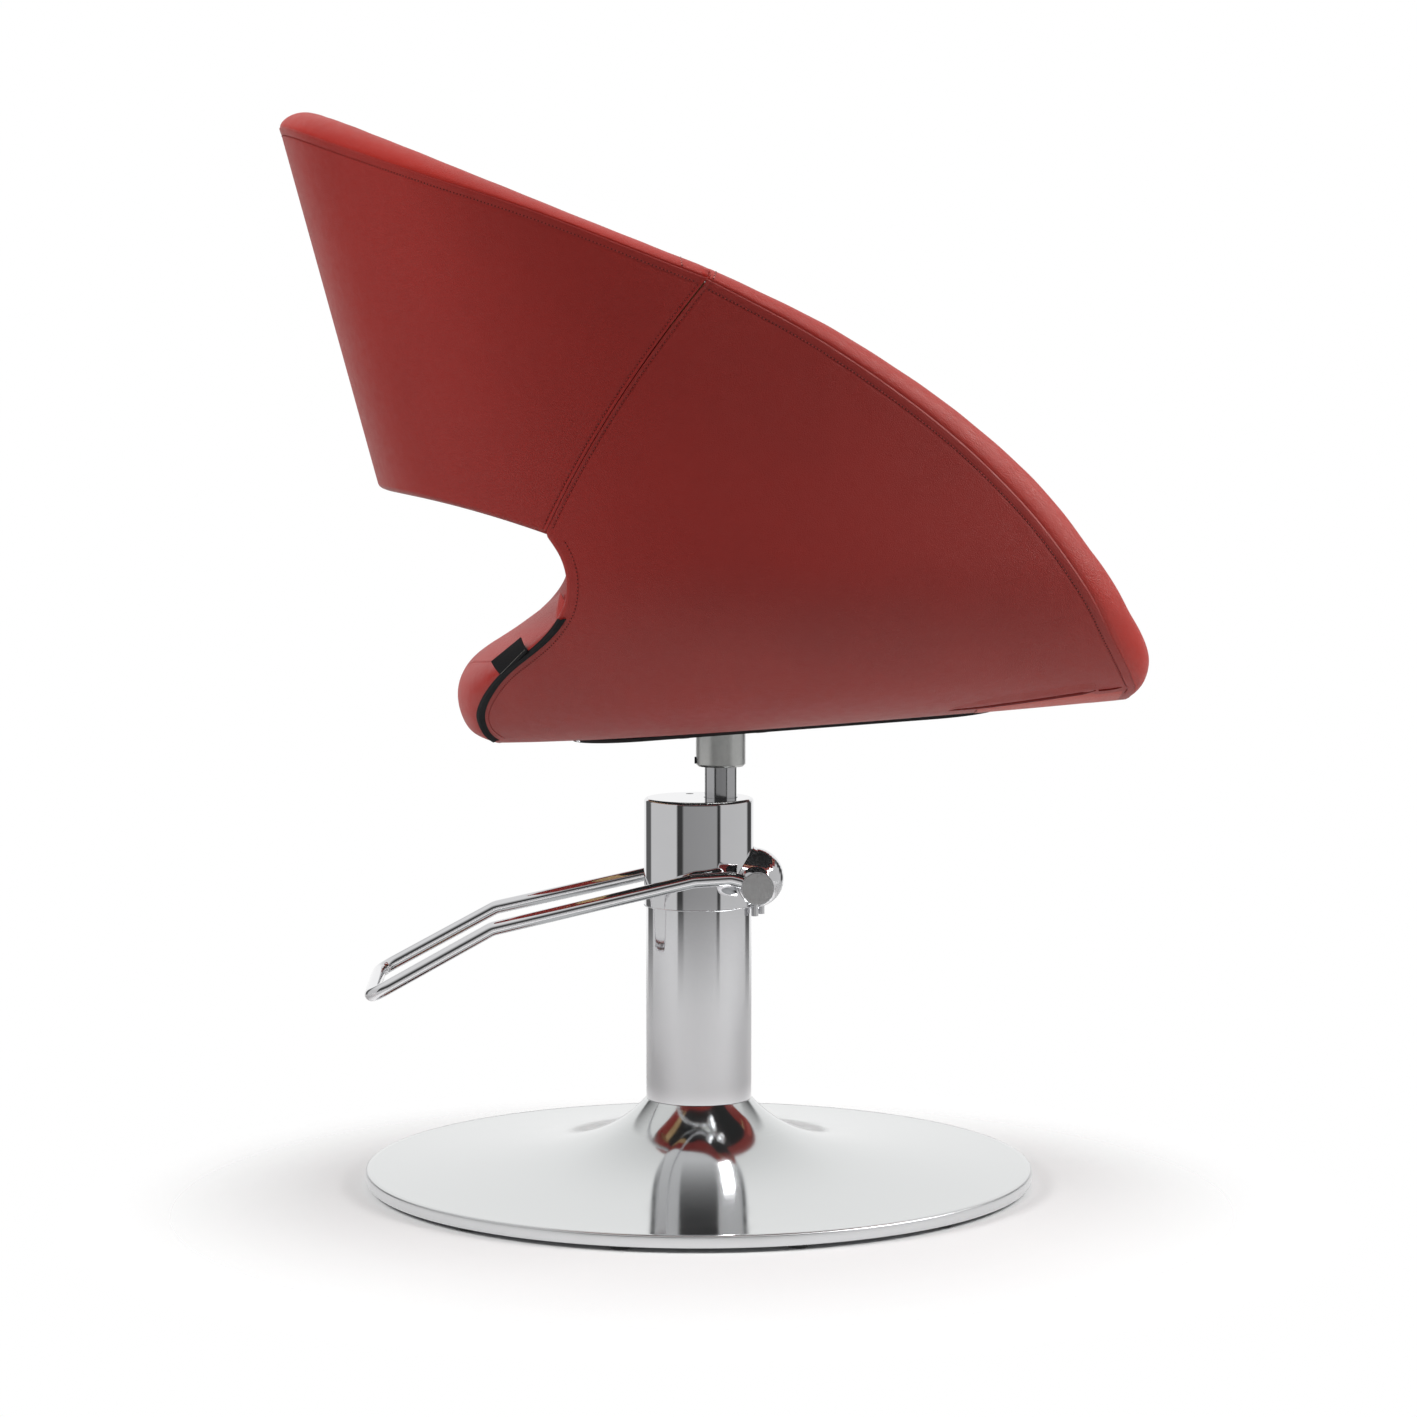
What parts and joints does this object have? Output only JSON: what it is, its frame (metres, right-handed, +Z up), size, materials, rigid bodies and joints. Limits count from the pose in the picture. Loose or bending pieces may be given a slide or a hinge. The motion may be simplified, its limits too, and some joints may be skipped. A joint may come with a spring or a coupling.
{
  "type": "hydraulic styling chair",
  "caption": "Bucket styling chair in padded leather on a swivelling hydraulic column with a looped foot pedal and a polished round trumpet base.",
  "frame": {"origin": "on the floor under the axis of the column", "axes": "+X to the front of the seat, +Y to the sitter's left, +Z up"},
  "size_m": [0.7179, 0.62, 0.9205],
  "materials": {
    "chrome": "polished",
    "ground_steel": "ground",
    "zinc_steel": "zinc plated, satin",
    "satin_cap": "satin",
    "cast_iron": "machined",
    "bronze": "turned",
    "black_rubber": "matt",
    "black_steel": "black oxide",
    "spring_steel": "drawn wire",
    "plywood": "moulded plywood",
    "black_board": "matt",
    "red_leather": "soft grained",
    "red_padding": "leather over foam",
    "black_tape": "woven tape"
  },
  "bodies": {
    "base": {"base_cover": "chrome", "ballast_plate": "cast_iron", "foot_pads": "black_rubber", "pump_foot": "cast_iron", "flange_bolts": "zinc_steel", "lower_tube": "chrome", "upper_sleeve": "chrome", "filler_screw": "zinc_steel", "tank_tube": "cast_iron", "ram_cylinder": "ground_steel", "cylinder_head": "cast_iron", "guide_bush": "bronze", "wiper_ring": "black_rubber", "ball_housing": "chrome", "pump_block": "cast_iron", "shaft_bushes": "bronze", "valve_screws": "zinc_steel"},
    "lift": {"piston_head": "cast_iron", "piston_seal": "black_rubber"},
    "seat": {"ram_rod": "ground_steel", "retaining_ring": "black_steel", "socket": "zinc_steel", "socket_screw": "black_steel", "mounting_plate": "zinc_steel", "plate_bolts": "zinc_steel", "plate_washers": "zinc_steel", "seat_pan": "plywood", "bottom_cover": "black_board", "back_core": "plywood", "left_core": "plywood", "right_core": "plywood", "back_panel": "red_leather", "left_panel": "red_leather", "right_panel": "red_leather", "back_liner": "red_padding", "left_liner": "red_padding", "right_liner": "red_padding", "rim_band": "red_leather", "seat_roll": "red_padding", "seat_pad": "red_padding", "zip_tape": "black_tape", "side_tag": "black_tape"},
    "pedal": {"pedal_shaft": "chrome", "hub_barrels": "chrome", "hub_caps": "satin_cap", "pedal_rods": "chrome", "rocker": "cast_iron"},
    "plunger_body": {"plunger": "ground_steel", "plunger_spring": "spring_steel"}
  },
  "joints": [
    {"name": "lift", "type": "slide", "parent": "base", "child": "lift", "axis": [0, 0, 1], "range_m": [0, 0.15]},
    {"name": "swivel", "type": "hinge", "parent": "lift", "child": "seat", "pos_m": [0.019, 0, 0.3], "axis": [0, 0, 1], "continuous": true},
    {"name": "pedal_press", "type": "hinge", "parent": "base", "child": "pedal", "pos_m": [0.0478, 0, 0.2654], "axis": [0, -1, 0], "range_deg": [0, 16], "stiffness_Nm_per_rad": 6, "springref_deg": -20.05},
    {"name": "plunger_stroke", "type": "slide", "parent": "base", "child": "plunger_body", "axis": [-1, 0, 0], "range_m": [0, 0.00436], "deforming": ["plunger_spring"]}
  ],
  "couplings": [
    {"joint": "plunger_stroke", "follows": "pedal_press", "m_per_rad": 0.0156}
  ]
}
